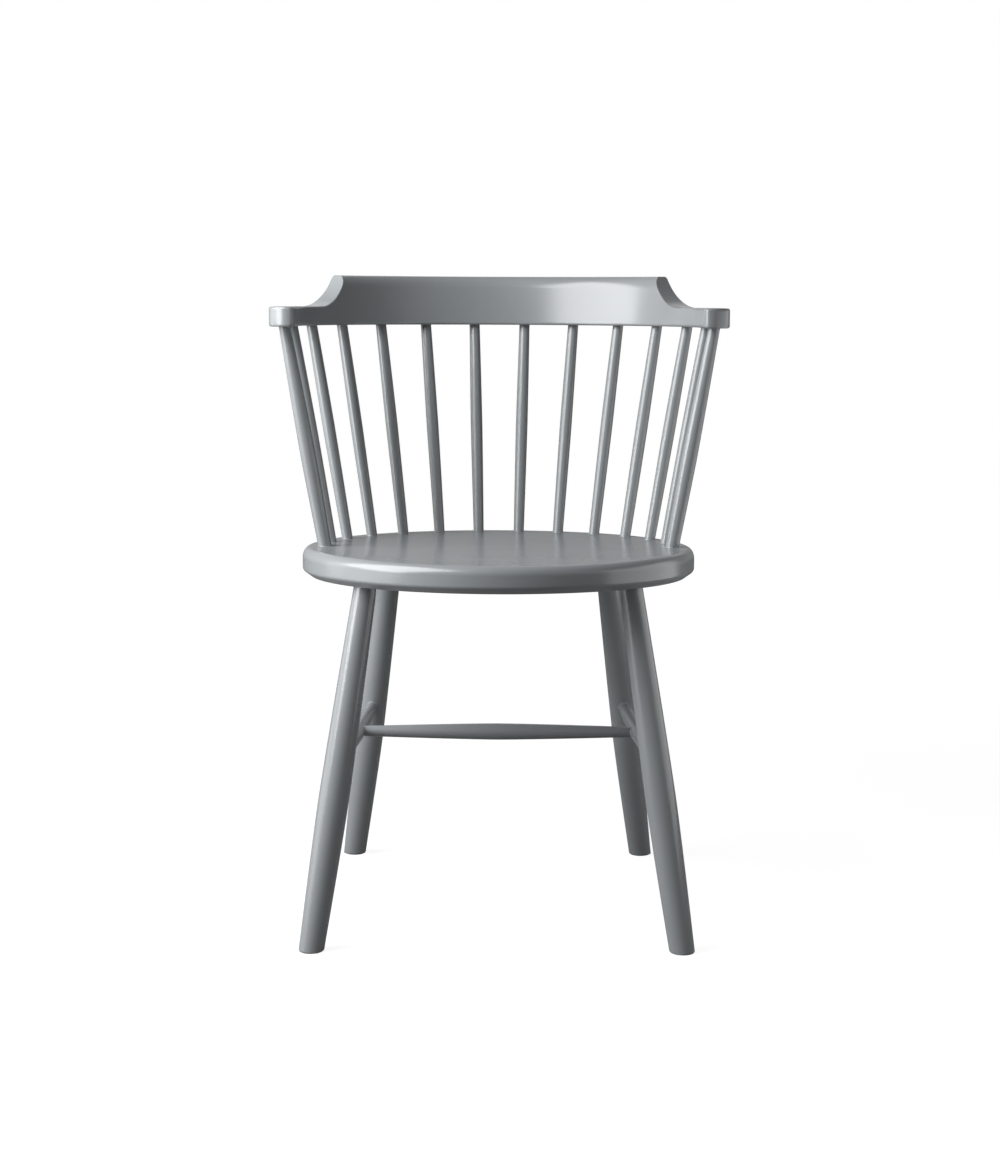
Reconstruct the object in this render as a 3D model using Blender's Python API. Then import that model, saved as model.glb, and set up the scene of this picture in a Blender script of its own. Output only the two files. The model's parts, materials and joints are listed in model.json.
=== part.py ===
"""A low spindle-back armchair in painted wood, in metres with +Z up and the front facing -Y.

A round seat stands on four splayed turned legs that are tied by two side stretchers and a cross stretcher.
Twelve spindles and two front posts rise from the seat to a bow rail: a tall crest at the back, scooped down
at both ends to low arms with half-round tips. Left is -X, as seen from the front.
"""

import math

import bmesh
import bpy
from mathutils import Vector

# Fits
FIT_GAP = 0.0003  # glue gap round each tenon, at each socket's bottom and in the rail's joints
MERGE_DISTANCE = 0.00001
CUTTER_OVERSHOOT = 0.012  # how far a socket's cutter stands out of the surface that it cuts

# Seat
SEAT_HEIGHT = 0.440  # floor to the top of the seat at its middle
SEAT_RADIUS = 0.230
SEAT_THICKNESS = 0.033
SEAT_TILT = math.radians(1.1)  # the top falls towards the back
SEAT_TOP_ROUND = 0.009
SEAT_LOWER_CHAMFER = 0.008

# Legs
LEG_TOP_INSET = 0.0345  # from the seat's rim to a leg's axis, at the underside of the seat
FRONT_LEG_ANGLE = math.radians(49.7)  # about the seat's middle, from straight ahead
REAR_LEG_PLACE = 3  # in stick steps from the middle of the back: whole, so between two spindles
FRONT_SPLAY_X = 0.0596  # how far a foot stands out from under its leg's top
FRONT_SPLAY_Y = 0.0486
REAR_SPLAY_X = 0.0559
REAR_SPLAY_Y = 0.1329
LEG_FOOT_DIAMETER = 0.0285
LEG_SWELL_DIAMETER = 0.0346
LEG_TOP_DIAMETER = 0.026
LEG_SWELL_HEIGHT = 0.165
LEG_TENON_DEPTH = 0.020
FOOT_ROUND = 0.002

# Stretchers
STRETCHER_HEIGHT = 0.212
STRETCHER_SWELL_PLACE = 0.5  # share of the length
SIDE_STRETCHER_DIAMETER = 0.020
SIDE_STRETCHER_END_DIAMETER = 0.0135
SIDE_STRETCHER_TENON_DEPTH = 0.018
CROSS_STRETCHER_DIAMETER = 0.0198
CROSS_STRETCHER_END_DIAMETER = 0.0125
CROSS_STRETCHER_TENON_DEPTH = 0.011

# Sticks: spindles and front posts, counted from the middle of the back towards each arm
SPINDLES_PER_SIDE = 6
STICK_INSET = 0.026  # from the seat's rim to the sticks' circle
STICK_ANGLE_STEP = math.radians(14.31)
SEAT_SOCKET_DEPTH = 0.019
RAIL_SOCKET_DEPTH = 0.015
SPINDLE_TOP_DIAMETER = 0.0130
SPINDLE_SWELL_DIAMETER = 0.0149
SPINDLE_BASE_DIAMETER = 0.0128
SPINDLE_SWELL_PLACE = 0.52  # share of the length from the seat to the rail
POST_TOP_DIAMETER = 0.0135
POST_SWELL_DIAMETER = 0.0182
POST_BASE_DIAMETER = 0.0158
POST_SWELL_PLACE = 0.40
TURNING_FULLNESS = 1.35  # 1 would taper straight from a swelling to the ends

# Bow rail
RAIL_BOTTOM_HEIGHT = 0.6962
RAIL_OVERHANG = 0.019  # from the seat's rim out to the rail's centre line
RAIL_RADIUS = SEAT_RADIUS + RAIL_OVERHANG
RAIL_SETBACK = 0.012  # the bow's centre lies this far behind the seat's centre
POST_FORWARD = 0.0249  # a front post's head stands this far in front of the bow's centre
STICK_RAIL_PITCH = (0.5 * math.pi * RAIL_RADIUS + POST_FORWARD) / (SPINDLES_PER_SIDE + 0.5)
ARM_WIDTH = 0.0325
ARM_HEIGHT = 0.0228
ARM_OVERHANG = 0.050  # from a front post's axis to the arm's tip
ARM_EDGE_ROUND = 0.003
CREST_HEIGHT = 0.0608
CREST_INNER_ROUND = 0.010
CREST_OUTER_ROUND = 0.004
ROUND_LIMIT = 0.9  # largest share of the crest's top that the inner rounding may take
CREST_INNER_LEAN = math.radians(9.8)  # both faces lean in towards the top
CREST_OUTER_LEAN = math.radians(1.0)
SCOOP_LENGTH = 0.0592
SCOOP_ENTRY_ANGLE = math.radians(24.5)  # from upright, where the scoop leaves the crest's top
SCOOP_TO_JOINT = 0.0361  # from the foot of the scoop to the joint between back and arm

# Dowels in the rail's joints
DOWEL_DIAMETER = 0.008
DOWEL_SPACING = 0.014
DOWEL_END_WALL = 0.006  # wood between a dowel's end and the next spindle's socket

# Facets
SEAT_SIDES = 80
LEG_SIDES = 20
STICK_SIDES = 12
DOWEL_SIDES = 12
LEG_RINGS = 5
FOOT_ROUND_STEPS = 2
STRETCHER_RINGS = 4
STICK_RINGS = 3
SEAT_ROUND_STEPS = 4
RAIL_ROUND_STEPS = 3
CREST_STATIONS = 13
SCOOP_STATIONS = 8
ARM_STATIONS = 9
TIP_STATIONS = 7
SMOOTH_ANGLE = math.radians(35.0)

# Finish
PAINT_COLOUR = (0.205, 0.213, 0.220, 1.0)
PAINT_ROUGHNESS = 0.36
BARE_WOOD_COLOUR = (0.56, 0.40, 0.24, 1.0)
BARE_WOOD_ROUGHNESS = 0.70

# Sides, as seen from the front
SIDES = ("left", "right")


def sign_of(side):
    """The sign of X on a side of the chair."""
    return -1.0 if side == "left" else 1.0


def clear_scene():
    for old in list(bpy.data.objects):
        bpy.data.objects.remove(old, do_unlink=True)


def finish_material(name, colour, roughness):
    material = bpy.data.materials.new(name)
    material.use_nodes = True
    surface = material.node_tree.nodes["Principled BSDF"]
    surface.inputs["Base Color"].default_value = colour
    surface.inputs["Roughness"].default_value = roughness
    surface.inputs["Metallic"].default_value = 0.0
    return material


def add_object(name, work, root, colour=PAINT_COLOUR, roughness=PAINT_ROUGHNESS):
    """Turn a finished bmesh into a shaded object with its own material under the chair's empty."""
    work.normal_update()
    bmesh.ops.recalc_face_normals(work, faces=work.faces[:])
    mesh = bpy.data.meshes.new(name)
    work.to_mesh(mesh)
    work.free()
    mesh.shade_smooth()
    mesh.set_sharp_from_angle(angle=SMOOTH_ANGLE)
    mesh.materials.append(finish_material(name + "_finish", colour, roughness))
    thing = bpy.data.objects.new(name, mesh)
    bpy.context.scene.collection.objects.link(thing)
    thing.parent = root
    return thing


def point_along(thing, start, end):
    """Stand an object that was built along +Z on the line from start to end."""
    thing.location = start
    thing.rotation_mode = "QUATERNION"
    thing.rotation_quaternion = (end - start).to_track_quat("Z", "Y")


def spun(profile, sides):
    """Spin (distance, radius) pairs about Z and close both ends."""
    work = bmesh.new()
    verts = [work.verts.new((radius, 0.0, distance)) for distance, radius in profile]
    edges = [work.edges.new(pair) for pair in zip(verts, verts[1:])]
    bmesh.ops.spin(work, geom=verts + edges, cent=(0, 0, 0), axis=(0, 0, 1), angle=math.tau, steps=sides,
                   use_merge=True, use_duplicate=False)
    bmesh.ops.remove_doubles(work, verts=work.verts[:], dist=MERGE_DISTANCE)
    open_edges = [edge for edge in work.edges if edge.is_boundary]
    bmesh.ops.holes_fill(work, edges=open_edges, sides=0)
    bmesh.ops.recalc_face_normals(work, faces=work.faces[:])
    return work


def swelling(start, swell_at, end, start_diameter, swell_diameter, end_diameter, steps):
    """Profile of a turned piece that swells at one place and tapers to both ends."""
    profile = []
    for i in range(steps + 1):
        place = start + (swell_at - start) * i / steps
        away = (1.0 - i / steps) ** TURNING_FULLNESS
        profile.append((place, 0.5 * (swell_diameter + (start_diameter - swell_diameter) * away)))
    for i in range(1, steps + 1):
        place = swell_at + (end - swell_at) * i / steps
        away = (i / steps) ** TURNING_FULLNESS
        profile.append((place, 0.5 * (swell_diameter + (end_diameter - swell_diameter) * away)))
    return profile


def turned_stick(name, root, base, head, base_depth, head_depth, diameters, swell_place, steps, sides):
    """Turned piece whose cylindrical ends run on past base and head into their sockets."""
    base_diameter, swell_diameter, head_diameter = diameters
    length = (head - base).length
    profile = [(FIT_GAP - base_depth, 0.5 * base_diameter)]
    profile += swelling(0.0, swell_place * length, length, base_diameter, swell_diameter, head_diameter,
                        steps)
    profile.append((length + head_depth - FIT_GAP, 0.5 * head_diameter))
    stick = add_object(name, spun(profile, sides), root)
    point_along(stick, base, head)
    return stick


def socket(surface_point, outward, depth, diameter, sides):
    """What a socket's cutter needs: its bottom, its top clear of the surface, its radius and its sides."""
    bottom = surface_point - outward * depth
    return bottom, surface_point + outward * CUTTER_OVERSHOOT, 0.5 * diameter + FIT_GAP, sides


def cut_sockets(thing, root, sockets):
    """Cut a piece's sockets with one hidden object that holds all of its round cutters."""
    cutters = bmesh.new()
    for bottom, top, radius, sides in sockets:
        length = (top - bottom).length
        one = spun([(0.0, radius), (length, radius)], sides)
        turn = (top - bottom).to_track_quat("Z", "Y").to_matrix().to_4x4()
        turn.translation = bottom
        one.transform(turn)
        part = bpy.data.meshes.new(thing.name + "_cutter_part")
        one.to_mesh(part)
        one.free()
        cutters.from_mesh(part)
        bpy.data.meshes.remove(part)
    mesh = bpy.data.meshes.new(thing.name + "_sockets")
    cutters.to_mesh(mesh)
    cutters.free()
    cutter = bpy.data.objects.new(thing.name + "_sockets", mesh)
    bpy.context.scene.collection.objects.link(cutter)
    cutter.parent = root
    cutter.hide_render = True
    cutter.display_type = "WIRE"
    cut = thing.modifiers.new("sockets", "BOOLEAN")
    cut.operation = "DIFFERENCE"
    cut.solver = "EXACT"
    cut.object = cutter


def arc_points(centre_along, centre_up, radius, first_angle, last_angle, steps):
    """Points on an arc, as (along, up) pairs."""
    points = []
    for i in range(steps + 1):
        angle = first_angle + (last_angle - first_angle) * i / steps
        points.append((centre_along + radius * math.cos(angle), centre_up + radius * math.sin(angle)))
    return points


def on_seat_top(x, y):
    """Point of the seat's tilted top plane above the plan position (x, y)."""
    return Vector((x, y, SEAT_HEIGHT - y * math.tan(SEAT_TILT)))


def on_seat_underside(x, y):
    return on_seat_top(x, y) - Vector((0.0, 0.0, SEAT_THICKNESS / math.cos(SEAT_TILT)))


def make_seat(root):
    """Round seat: rounded top edge, upright rim, chamfered lower edge."""
    rounding = arc_points(SEAT_RADIUS - SEAT_TOP_ROUND, -SEAT_TOP_ROUND, SEAT_TOP_ROUND, 0.5 * math.pi, 0.0,
                          SEAT_ROUND_STEPS)
    profile = [(up, along) for along, up in rounding]
    profile.append((SEAT_LOWER_CHAMFER - SEAT_THICKNESS, SEAT_RADIUS))
    profile.append((-SEAT_THICKNESS, SEAT_RADIUS - SEAT_LOWER_CHAMFER))
    seat = add_object("seat", spun(profile, SEAT_SIDES), root)
    seat.location = (0.0, 0.0, SEAT_HEIGHT)
    seat.rotation_euler = (-SEAT_TILT, 0.0, 0.0)
    return seat


class Leg:
    """One leg's axis, from the floor to the underside of the seat."""

    def __init__(self, name, side, angle, splay_x, splay_y):
        """The angle is about the seat's middle, from the back."""
        radius = SEAT_RADIUS - LEG_TOP_INSET
        self.name = name
        self.top = on_seat_underside(sign_of(side) * radius * math.sin(angle), radius * math.cos(angle))
        self.foot = Vector((self.top.x + sign_of(side) * splay_x, self.top.y + splay_y, 0.0))
        self.direction = (self.top - self.foot).normalized()

    def at_height(self, height):
        return self.foot + (self.top - self.foot) * (height / self.top.z)


def leg_layout():
    legs = {}
    for side in SIDES:
        legs["front_" + side] = Leg("leg_front_" + side, side, math.pi - FRONT_LEG_ANGLE, FRONT_SPLAY_X,
                                    -FRONT_SPLAY_Y)
        legs["rear_" + side] = Leg("leg_rear_" + side, side, REAR_LEG_PLACE * STICK_ANGLE_STEP, REAR_SPLAY_X,
                                   REAR_SPLAY_Y)
    return legs


def make_leg(leg, root):
    """Turned leg, trimmed flat on the floor, with the foot's edge rounded and a plain neck into the seat."""
    length = (leg.top - leg.foot).length
    swell_at = length * LEG_SWELL_HEIGHT / leg.top.z
    neck = length - 0.5 * LEG_TOP_DIAMETER * math.tan(leg.direction.angle(Vector((0.0, 0.0, 1.0))))
    profile = [(-LEG_FOOT_DIAMETER, 0.5 * LEG_FOOT_DIAMETER)]
    profile += swelling(0.0, swell_at, neck, LEG_FOOT_DIAMETER, LEG_SWELL_DIAMETER, LEG_TOP_DIAMETER,
                        LEG_RINGS)
    profile.append((length + LEG_TENON_DEPTH - FIT_GAP, 0.5 * LEG_TOP_DIAMETER))
    work = spun(profile, LEG_SIDES)
    stand = leg.direction.to_track_quat("Z", "Y").to_matrix().to_4x4()
    stand.translation = leg.foot
    work.transform(stand)
    everything = work.verts[:] + work.edges[:] + work.faces[:]
    cut = bmesh.ops.bisect_plane(work, geom=everything, dist=MERGE_DISTANCE, plane_co=(0, 0, 0),
                                 plane_no=(0, 0, 1), clear_inner=True)
    rim = [item for item in cut["geom_cut"] if isinstance(item, bmesh.types.BMEdge)]
    bmesh.ops.holes_fill(work, edges=rim, sides=0)
    bmesh.ops.bevel(work, geom=rim, offset=FOOT_ROUND, offset_type="OFFSET", segments=FOOT_ROUND_STEPS,
                    profile=0.5, affect="EDGES", material=-1)
    work.transform(stand.inverted())
    thing = add_object(leg.name, work, root)
    point_along(thing, leg.foot, leg.top)
    return thing


def leg_surface_point(leg, toward):
    """Where a stretcher's axis comes out of a leg at stretcher height."""
    centre = leg.at_height(STRETCHER_HEIGHT)
    return centre + (toward - centre).normalized() * 0.5 * LEG_SWELL_DIAMETER


def make_side_stretcher(name, root, front, rear, front_thing, rear_thing):
    """Side stretcher between a front and a rear leg, and its sockets in them; returns it and its middle."""
    front_point = leg_surface_point(front, rear.at_height(STRETCHER_HEIGHT))
    rear_point = leg_surface_point(rear, front.at_height(STRETCHER_HEIGHT))
    diameters = (SIDE_STRETCHER_END_DIAMETER, SIDE_STRETCHER_DIAMETER, SIDE_STRETCHER_END_DIAMETER)
    depth = SIDE_STRETCHER_TENON_DEPTH
    thing = turned_stick(name, root, front_point, rear_point, depth, depth, diameters, STRETCHER_SWELL_PLACE,
                         STRETCHER_RINGS, STICK_SIDES)
    backward = (rear_point - front_point).normalized()
    cut_sockets(front_thing, root, [socket(front_point, backward, depth, diameters[0], STICK_SIDES)])
    cut_sockets(rear_thing, root, [socket(rear_point, -backward, depth, diameters[2], STICK_SIDES)])
    return thing, 0.5 * (front_point + rear_point)


def make_cross_stretcher(root, left_tie, right_tie):
    """Cross stretcher between the middles of the side stretchers, and its sockets in them."""
    left_thing, left_middle = left_tie
    right_thing, right_middle = right_tie
    across = (right_middle - left_middle).normalized()
    left_point = left_middle + across * 0.5 * SIDE_STRETCHER_DIAMETER
    right_point = right_middle - across * 0.5 * SIDE_STRETCHER_DIAMETER
    diameters = (CROSS_STRETCHER_END_DIAMETER, CROSS_STRETCHER_DIAMETER, CROSS_STRETCHER_END_DIAMETER)
    depth = CROSS_STRETCHER_TENON_DEPTH
    turned_stick("stretcher_cross", root, left_point, right_point, depth, depth, diameters,
                 STRETCHER_SWELL_PLACE, STRETCHER_RINGS, STICK_SIDES)
    cut_sockets(left_thing, root, [socket(left_point, across, depth, diameters[0], STICK_SIDES)])
    cut_sockets(right_thing, root, [socket(right_point, -across, depth, diameters[2], STICK_SIDES)])


def make_base(root):
    """Legs and stretchers; returns the sockets that the legs need in the seat."""
    legs = leg_layout()
    things = {key: make_leg(leg, root) for key, leg in legs.items()}
    ties = []
    for side in SIDES:
        front = "front_" + side
        rear = "rear_" + side
        ties.append(make_side_stretcher("stretcher_" + side, root, legs[front], legs[rear], things[front],
                                        things[rear]))
    make_cross_stretcher(root, *ties)
    leg_sockets = []
    for leg in legs.values():
        leg_sockets.append(socket(leg.top, -leg.direction, LEG_TENON_DEPTH, LEG_TOP_DIAMETER, LEG_SIDES))
    return leg_sockets


def rail_place(along):
    """Point and outward direction on the rail's centre line, at a signed distance from the back's middle."""
    quarter = 0.5 * math.pi * RAIL_RADIUS
    side = math.copysign(1.0, along)
    turn = min(abs(along), quarter) / RAIL_RADIUS
    outward = Vector((side * math.sin(turn), math.cos(turn), 0.0))
    point = Vector((0.0, RAIL_SETBACK, RAIL_BOTTOM_HEIGHT)) + RAIL_RADIUS * outward
    point.y -= max(abs(along) - quarter, 0.0)
    return point, outward


def post_place():
    """Distance along the rail, from the middle of the back, of a front post's axis."""
    return (SPINDLES_PER_SIDE + 0.5) * STICK_RAIL_PITCH


def tip_start():
    """Distance along the rail at which an arm's half-round tip begins."""
    return post_place() + ARM_OVERHANG - 0.5 * ARM_WIDTH


def joint_place():
    """Distance along the rail of the joint between back and arm, midway between the last two spindles."""
    return (SPINDLES_PER_SIDE - 1) * STICK_RAIL_PITCH


def crest_end():
    """Distance along the rail at which the crest's full height ends and the scoop begins."""
    return joint_place() - SCOOP_TO_JOINT - SCOOP_LENGTH


def rail_height(along):
    """The crest's full height, scooped down to the arm's height at its ends along a part of an ellipse."""
    past_crest = min(max((abs(along) - crest_end()) / SCOOP_LENGTH, 0.0), 1.0)
    angle = math.acos(math.cos(SCOOP_ENTRY_ANGLE) * (1.0 - past_crest))
    drop = (math.sin(angle) - math.sin(SCOOP_ENTRY_ANGLE)) / (1.0 - math.sin(SCOOP_ENTRY_ANGLE))
    return CREST_HEIGHT - (CREST_HEIGHT - ARM_HEIGHT) * drop


def fade(value, start, end):
    """1 up to start, 0 from end on, with a smooth slope between."""
    share = min(max((value - start) / (end - start), 0.0), 1.0)
    return 1.0 - share * share * (3.0 - 2.0 * share)


def rail_section(along):
    """The rail's outline across its centre line, as (outward, up) pairs round from the lower outer edge."""
    height = rail_height(along)
    crest = fade(abs(along), crest_end(), tip_start())
    into_tip = max(abs(along) - tip_start(), 0.0)
    leans = {1.0: -math.tan(CREST_OUTER_LEAN) * crest, -1.0: math.tan(CREST_INNER_LEAN) * crest}
    top_width = ARM_WIDTH + (leans[1.0] - leans[-1.0]) * height
    outer_round = ARM_EDGE_ROUND + (CREST_OUTER_ROUND - ARM_EDGE_ROUND) * crest
    inner_round = ARM_EDGE_ROUND + (CREST_INNER_ROUND - ARM_EDGE_ROUND) * crest
    inner_round = min(inner_round, ROUND_LIMIT * (top_width - outer_round))
    corners = (
        (1.0, 0.0, ARM_EDGE_ROUND),
        (1.0, height, outer_round),
        (-1.0, height, inner_round),
        (-1.0, 0.0, ARM_EDGE_ROUND),
    )
    outline = []
    for number, (side, level, rounding) in enumerate(corners):
        upward = 1.0 if level > 0.0 else -1.0
        rising = number in (1, 3)
        limit = 0.5 * ARM_WIDTH - into_tip
        sharpest = math.acos(max(1.0 - limit / rounding, 0.0)) if limit < rounding else 0.5 * math.pi
        angles = [sharpest * i / RAIL_ROUND_STEPS for i in range(RAIL_ROUND_STEPS + 1)]
        if not rising:
            angles.reverse()
        for angle in angles:
            inset = rounding * (1.0 - math.cos(angle))
            up = level - upward * rounding * (1.0 - math.sin(angle))
            reach = 0.5 * ARM_WIDTH - inset
            half_width = math.sqrt(max(reach * reach - into_tip * into_tip, 0.0))
            outline.append((side * half_width + leans[side] * up, up))
    return outline


def make_rail_segment(name, root, stations):
    """Sweep the rail's section through the given places along the centre line."""
    work = bmesh.new()
    loops = []
    for along in stations:
        point, outward = rail_place(along)
        outline = [point + outward * out + Vector((0.0, 0.0, up)) for out, up in rail_section(along)]
        loop = [work.verts.new(corner) for corner in outline]
        loops.append([work.edges.new(pair) for pair in zip(loop, loop[1:] + loop[:1])])
    for one, other in zip(loops, loops[1:]):
        bmesh.ops.bridge_loops(work, edges=one + other)
    open_edges = [edge for edge in work.edges if edge.is_boundary]
    bmesh.ops.holes_fill(work, edges=open_edges, sides=0)
    return add_object(name, work, root)


def back_stations():
    """Places along the back segment: even on the crest, following the scoops' curve at both ends."""
    half = [crest_end() * i / CREST_STATIONS for i in range(1, CREST_STATIONS)]
    for i in range(SCOOP_STATIONS + 1):
        angle = SCOOP_ENTRY_ANGLE + (0.5 * math.pi - SCOOP_ENTRY_ANGLE) * i / SCOOP_STATIONS
        half.append(crest_end() + SCOOP_LENGTH * (1.0 - math.cos(angle) / math.cos(SCOOP_ENTRY_ANGLE)))
    half.append(joint_place() - 0.5 * FIT_GAP)
    return [-along for along in reversed(half)] + [0.0] + half


def arm_stations():
    """Places along one arm: even from the joint to the tip, then round the half-round tip."""
    start = joint_place() + 0.5 * FIT_GAP
    stations = [start + (tip_start() - start) * i / ARM_STATIONS for i in range(ARM_STATIONS)]
    for i in range(TIP_STATIONS):
        stations.append(tip_start() + 0.5 * ARM_WIDTH * math.sin(0.5 * math.pi * i / TIP_STATIONS))
    return stations


def dowel_length():
    """As long as the wood between the two spindle sockets beside the joint allows."""
    to_socket = 0.5 * (STICK_RAIL_PITCH - SPINDLE_TOP_DIAMETER) - FIT_GAP
    return 2.0 * (to_socket - DOWEL_END_WALL)


def dowel_line(side, row):
    """Both ends of a dowel that lies along the rail across a joint; row is -1 inside and 1 outside."""
    point, outward = rail_place(sign_of(side) * joint_place())
    along = Vector((outward.y, -outward.x, 0.0))
    middle = point + outward * (0.5 * row * DOWEL_SPACING) + Vector((0.0, 0.0, 0.5 * ARM_HEIGHT))
    return middle - along * 0.5 * dowel_length(), middle + along * 0.5 * dowel_length()


def make_dowels(root, sockets):
    """Two dowels in each joint; adds their holes to the sockets of the pieces that they join."""
    for side in SIDES:
        for row_name, row in (("inner", -1.0), ("outer", 1.0)):
            start, end = dowel_line(side, row)
            profile = [(0.0, 0.5 * DOWEL_DIAMETER), (dowel_length(), 0.5 * DOWEL_DIAMETER)]
            dowel = add_object("dowel_{}_{}".format(side, row_name), spun(profile, DOWEL_SIDES), root,
                               BARE_WOOD_COLOUR, BARE_WOOD_ROUGHNESS)
            point_along(dowel, start, end)
            ease = (end - start).normalized() * FIT_GAP
            hole = (start - ease, end + ease, 0.5 * DOWEL_DIAMETER + FIT_GAP, DOWEL_SIDES)
            sockets["rail_back"].append(hole)
            sockets["rail_arm_" + side].append(hole)


def make_rail(root, stick_sockets):
    """Back segment, two arms and the dowels in their joints; each piece gets its sockets."""
    sockets = {"rail_back": [], "rail_arm_left": [], "rail_arm_right": []}
    for along, cutter in stick_sockets:
        if abs(along) < joint_place():
            sockets["rail_back"].append(cutter)
        elif along < 0.0:
            sockets["rail_arm_left"].append(cutter)
        else:
            sockets["rail_arm_right"].append(cutter)
    make_dowels(root, sockets)
    back = make_rail_segment("rail_back", root, back_stations())
    cut_sockets(back, root, sockets["rail_back"])
    for side in SIDES:
        name = "rail_arm_" + side
        arm = make_rail_segment(name, root, [sign_of(side) * along for along in arm_stations()])
        cut_sockets(arm, root, sockets[name])


def make_sticks(root):
    """Spindles and front posts; returns the sockets that they need in the seat and in the rail."""
    seat_sockets = []
    rail_sockets = []
    circle_radius = SEAT_RADIUS - STICK_INSET
    places = [number - SPINDLES_PER_SIDE - 0.5 for number in range(2 * SPINDLES_PER_SIDE + 2)]
    spindle_diameters = (SPINDLE_BASE_DIAMETER, SPINDLE_SWELL_DIAMETER, SPINDLE_TOP_DIAMETER)
    post_diameters = (POST_BASE_DIAMETER, POST_SWELL_DIAMETER, POST_TOP_DIAMETER)
    for number, place in enumerate(places):
        angle = place * STICK_ANGLE_STEP
        base = on_seat_top(circle_radius * math.sin(angle), circle_radius * math.cos(angle))
        along = place * STICK_RAIL_PITCH
        head = rail_place(along)[0]
        name = "spindle_{:02d}".format(number)
        diameters = spindle_diameters
        swell_place = SPINDLE_SWELL_PLACE
        if number in (0, len(places) - 1):
            name = "post_left" if number == 0 else "post_right"
            diameters = post_diameters
            swell_place = POST_SWELL_PLACE
        turned_stick(name, root, base, head, SEAT_SOCKET_DEPTH, RAIL_SOCKET_DEPTH, diameters, swell_place,
                     STICK_RINGS, STICK_SIDES)
        upward = (head - base).normalized()
        seat_sockets.append(socket(base, upward, SEAT_SOCKET_DEPTH, diameters[0], STICK_SIDES))
        rail_sockets.append((along, socket(head, -upward, RAIL_SOCKET_DEPTH, diameters[2], STICK_SIDES)))
    return seat_sockets, rail_sockets


def centre_on_origin(root):
    """Move the chair so that its bounding box is centred over the origin in Y; it is already in X and Z."""
    bpy.context.view_layer.update()
    reach = []
    for thing in root.children:
        if not thing.hide_render:
            reach += [(thing.matrix_world @ vert.co).y for vert in thing.data.vertices]
    root.location.y = -0.5 * (min(reach) + max(reach))


def main():
    clear_scene()
    root = bpy.data.objects.new("chair", None)
    bpy.context.scene.collection.objects.link(root)
    seat = make_seat(root)
    leg_sockets = make_base(root)
    stick_sockets, rail_sockets = make_sticks(root)
    cut_sockets(seat, root, stick_sockets + leg_sockets)
    make_rail(root, rail_sockets)
    centre_on_origin(root)


main()
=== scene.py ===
"""Finished spindle-back armchair in satin grey paint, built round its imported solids.

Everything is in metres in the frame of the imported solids: +Z is up, the front faces -Y and left is -X. Each
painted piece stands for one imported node, or for the three of the bow rail, and keeps to its place and sizes.
"""

import json
import math

import bmesh
import bpy
from bpy.props import FloatProperty, FloatVectorProperty, IntProperty, PointerProperty
from mathutils import Matrix, Vector
from mathutils.bvhtree import BVHTree

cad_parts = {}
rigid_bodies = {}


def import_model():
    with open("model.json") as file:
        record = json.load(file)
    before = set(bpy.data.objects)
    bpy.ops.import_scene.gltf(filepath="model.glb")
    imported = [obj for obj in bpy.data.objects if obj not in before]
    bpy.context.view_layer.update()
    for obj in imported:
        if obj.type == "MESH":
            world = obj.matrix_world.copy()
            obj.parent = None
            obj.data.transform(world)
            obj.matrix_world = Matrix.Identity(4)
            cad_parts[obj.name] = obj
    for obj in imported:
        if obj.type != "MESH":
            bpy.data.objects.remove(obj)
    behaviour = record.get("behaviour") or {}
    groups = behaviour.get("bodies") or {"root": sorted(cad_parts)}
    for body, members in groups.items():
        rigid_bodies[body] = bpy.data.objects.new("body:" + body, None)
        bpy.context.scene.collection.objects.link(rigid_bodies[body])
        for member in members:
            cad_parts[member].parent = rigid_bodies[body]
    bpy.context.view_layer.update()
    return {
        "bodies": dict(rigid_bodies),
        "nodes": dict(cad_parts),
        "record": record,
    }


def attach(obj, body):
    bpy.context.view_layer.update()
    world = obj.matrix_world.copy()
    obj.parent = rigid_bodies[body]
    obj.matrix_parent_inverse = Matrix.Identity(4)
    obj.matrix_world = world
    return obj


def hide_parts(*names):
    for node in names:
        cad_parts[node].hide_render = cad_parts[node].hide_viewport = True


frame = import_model()

bl_info = {
    "name": "Spindle-back armchair",
    "version": (1, 0, 0),
    "blender": (4, 5, 0),
    "location": "View3D > Sidebar > Chair",
    "description": "Builds the finished pieces, the paint and the studio of a painted spindle-back armchair",
    "category": "Object",
}

BODY = next(iter(frame["bodies"]))
SIDES = ("left", "right")
ENDS = ("front", "rear")
UP = Vector((0.0, 0.0, 1.0))
QUARTER_TURN = 0.5 * math.pi
MERGE = 0.000005  # points nearer than this are one point
SHARP_ANGLE = math.radians(50.0)

MOUNTS = {mount["name"]: mount for mount in frame["record"]["mounts"]}
SEAT_MIDDLE = Vector(MOUNTS["seat_top"]["pos_m"])
SEAT_NORMAL = Vector(MOUNTS["seat_top"]["axis"]).normalized()

# Turned pieces
TURNING_FULLNESS = 1.35  # 1 gives a straight taper, more a fuller one
STICK_STEPS, LEG_STEPS = 16, 20  # from the swell to an end
BEAD_STEPS = 4
TOUCH = 0.0003  # how far a paint bead reaches into the piece that it lies on
PRESS_REACH = 0.02  # length of an end that is moved to follow the surface that it meets
MIDWAY = 0.5  # where a stretcher swells, as a share of its length

# Seat
SEAT_RINGS = (0.1, 0.3, 0.5, 0.65, 0.78, 0.88, 0.95, 0.99)  # shares of the flat top's radius that hold points
ROLL_START = 0.45  # share of the radius from which the top rolls down to the front
UNDER_RING = 0.004  # from the lower crease to the next ring of points

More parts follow.
